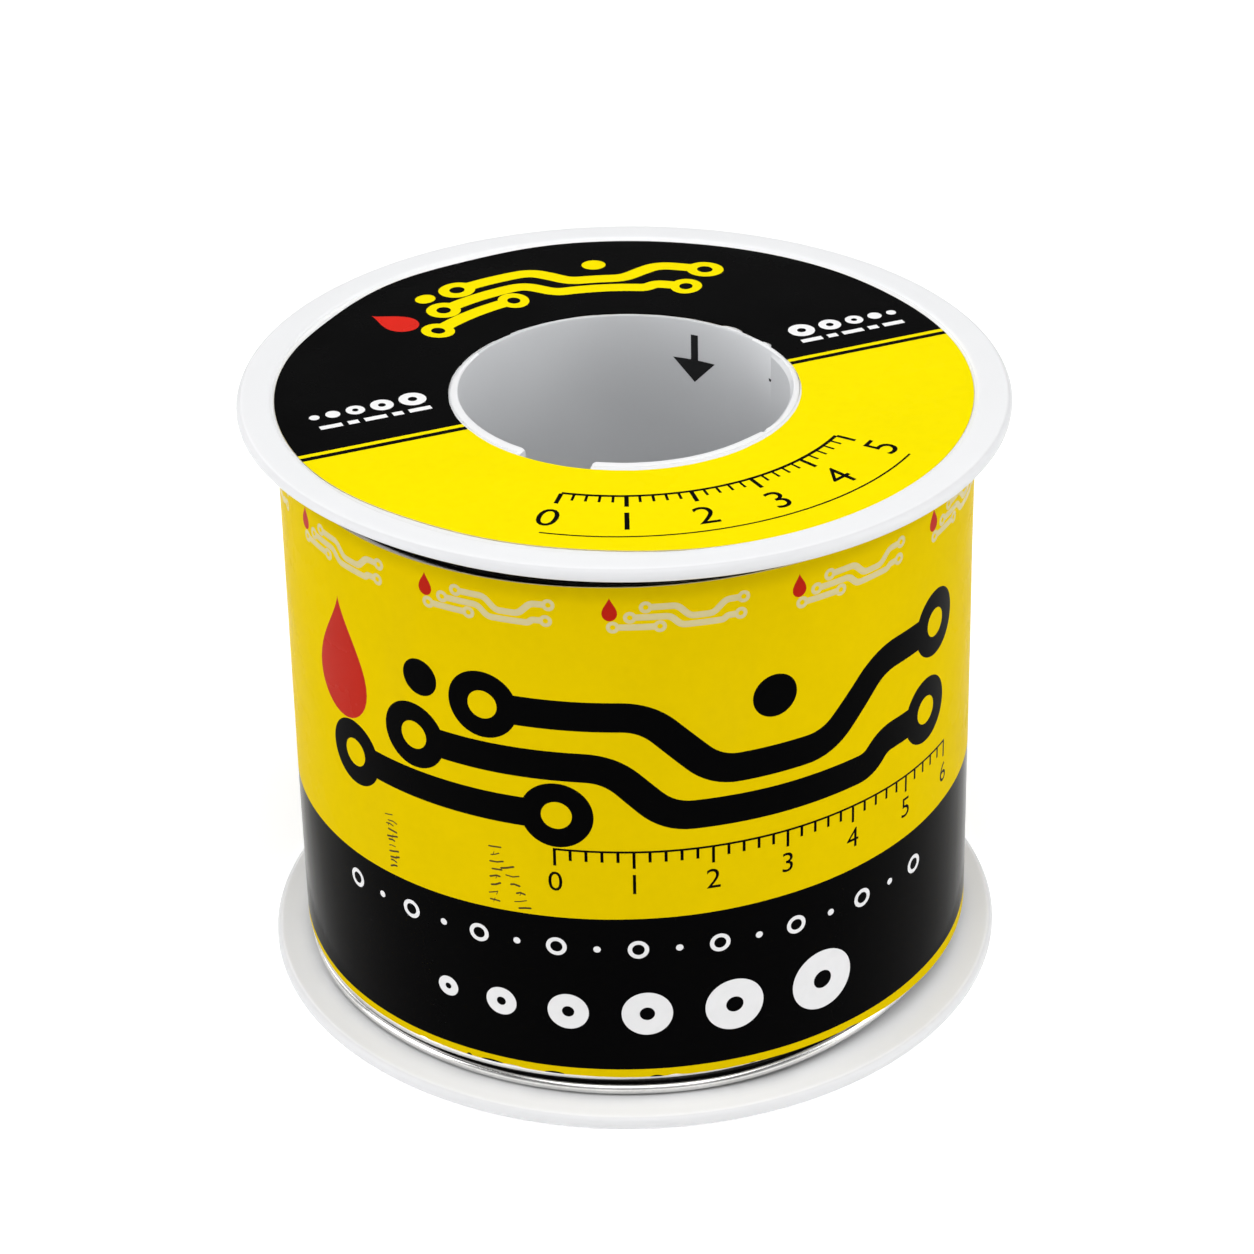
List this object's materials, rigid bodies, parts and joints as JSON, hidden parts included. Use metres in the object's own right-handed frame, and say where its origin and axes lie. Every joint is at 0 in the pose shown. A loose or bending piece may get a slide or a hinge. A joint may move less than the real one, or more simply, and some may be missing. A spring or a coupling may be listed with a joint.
{
  "type": "solder wire spool",
  "caption": "Round plastic spool with two flanges and a central spindle bore, wound full of flux-cored solder wire, with a wrap-around label and a ring label.",
  "frame": {"origin": "middle of the resting face, on the spool axis", "axes": "+Z along the spool axis, up; -Y towards the front of the wrap label; the label overlap faces +X and the cut end of the wire is at the back"},
  "size_m": [0.05, 0.05, 0.0416],
  "materials": {
    "spool_plastic": "satin white moulding",
    "solder": "bright tin-lead wire",
    "rosin": "dull amber rosin",
    "label_film": "glossy printed film"
  },
  "bodies": {
    "root": {"core_tube": "spool_plastic", "upper_flange": "spool_plastic", "lower_flange": "spool_plastic", "inner_winding": "solder", "outer_wire_layer": "solder", "wire_last_turn": "solder", "wire_start_end": "solder", "flux_core": "rosin", "wrap_label": "label_film", "top_label": "label_film"}
  },
  "joints": []
}
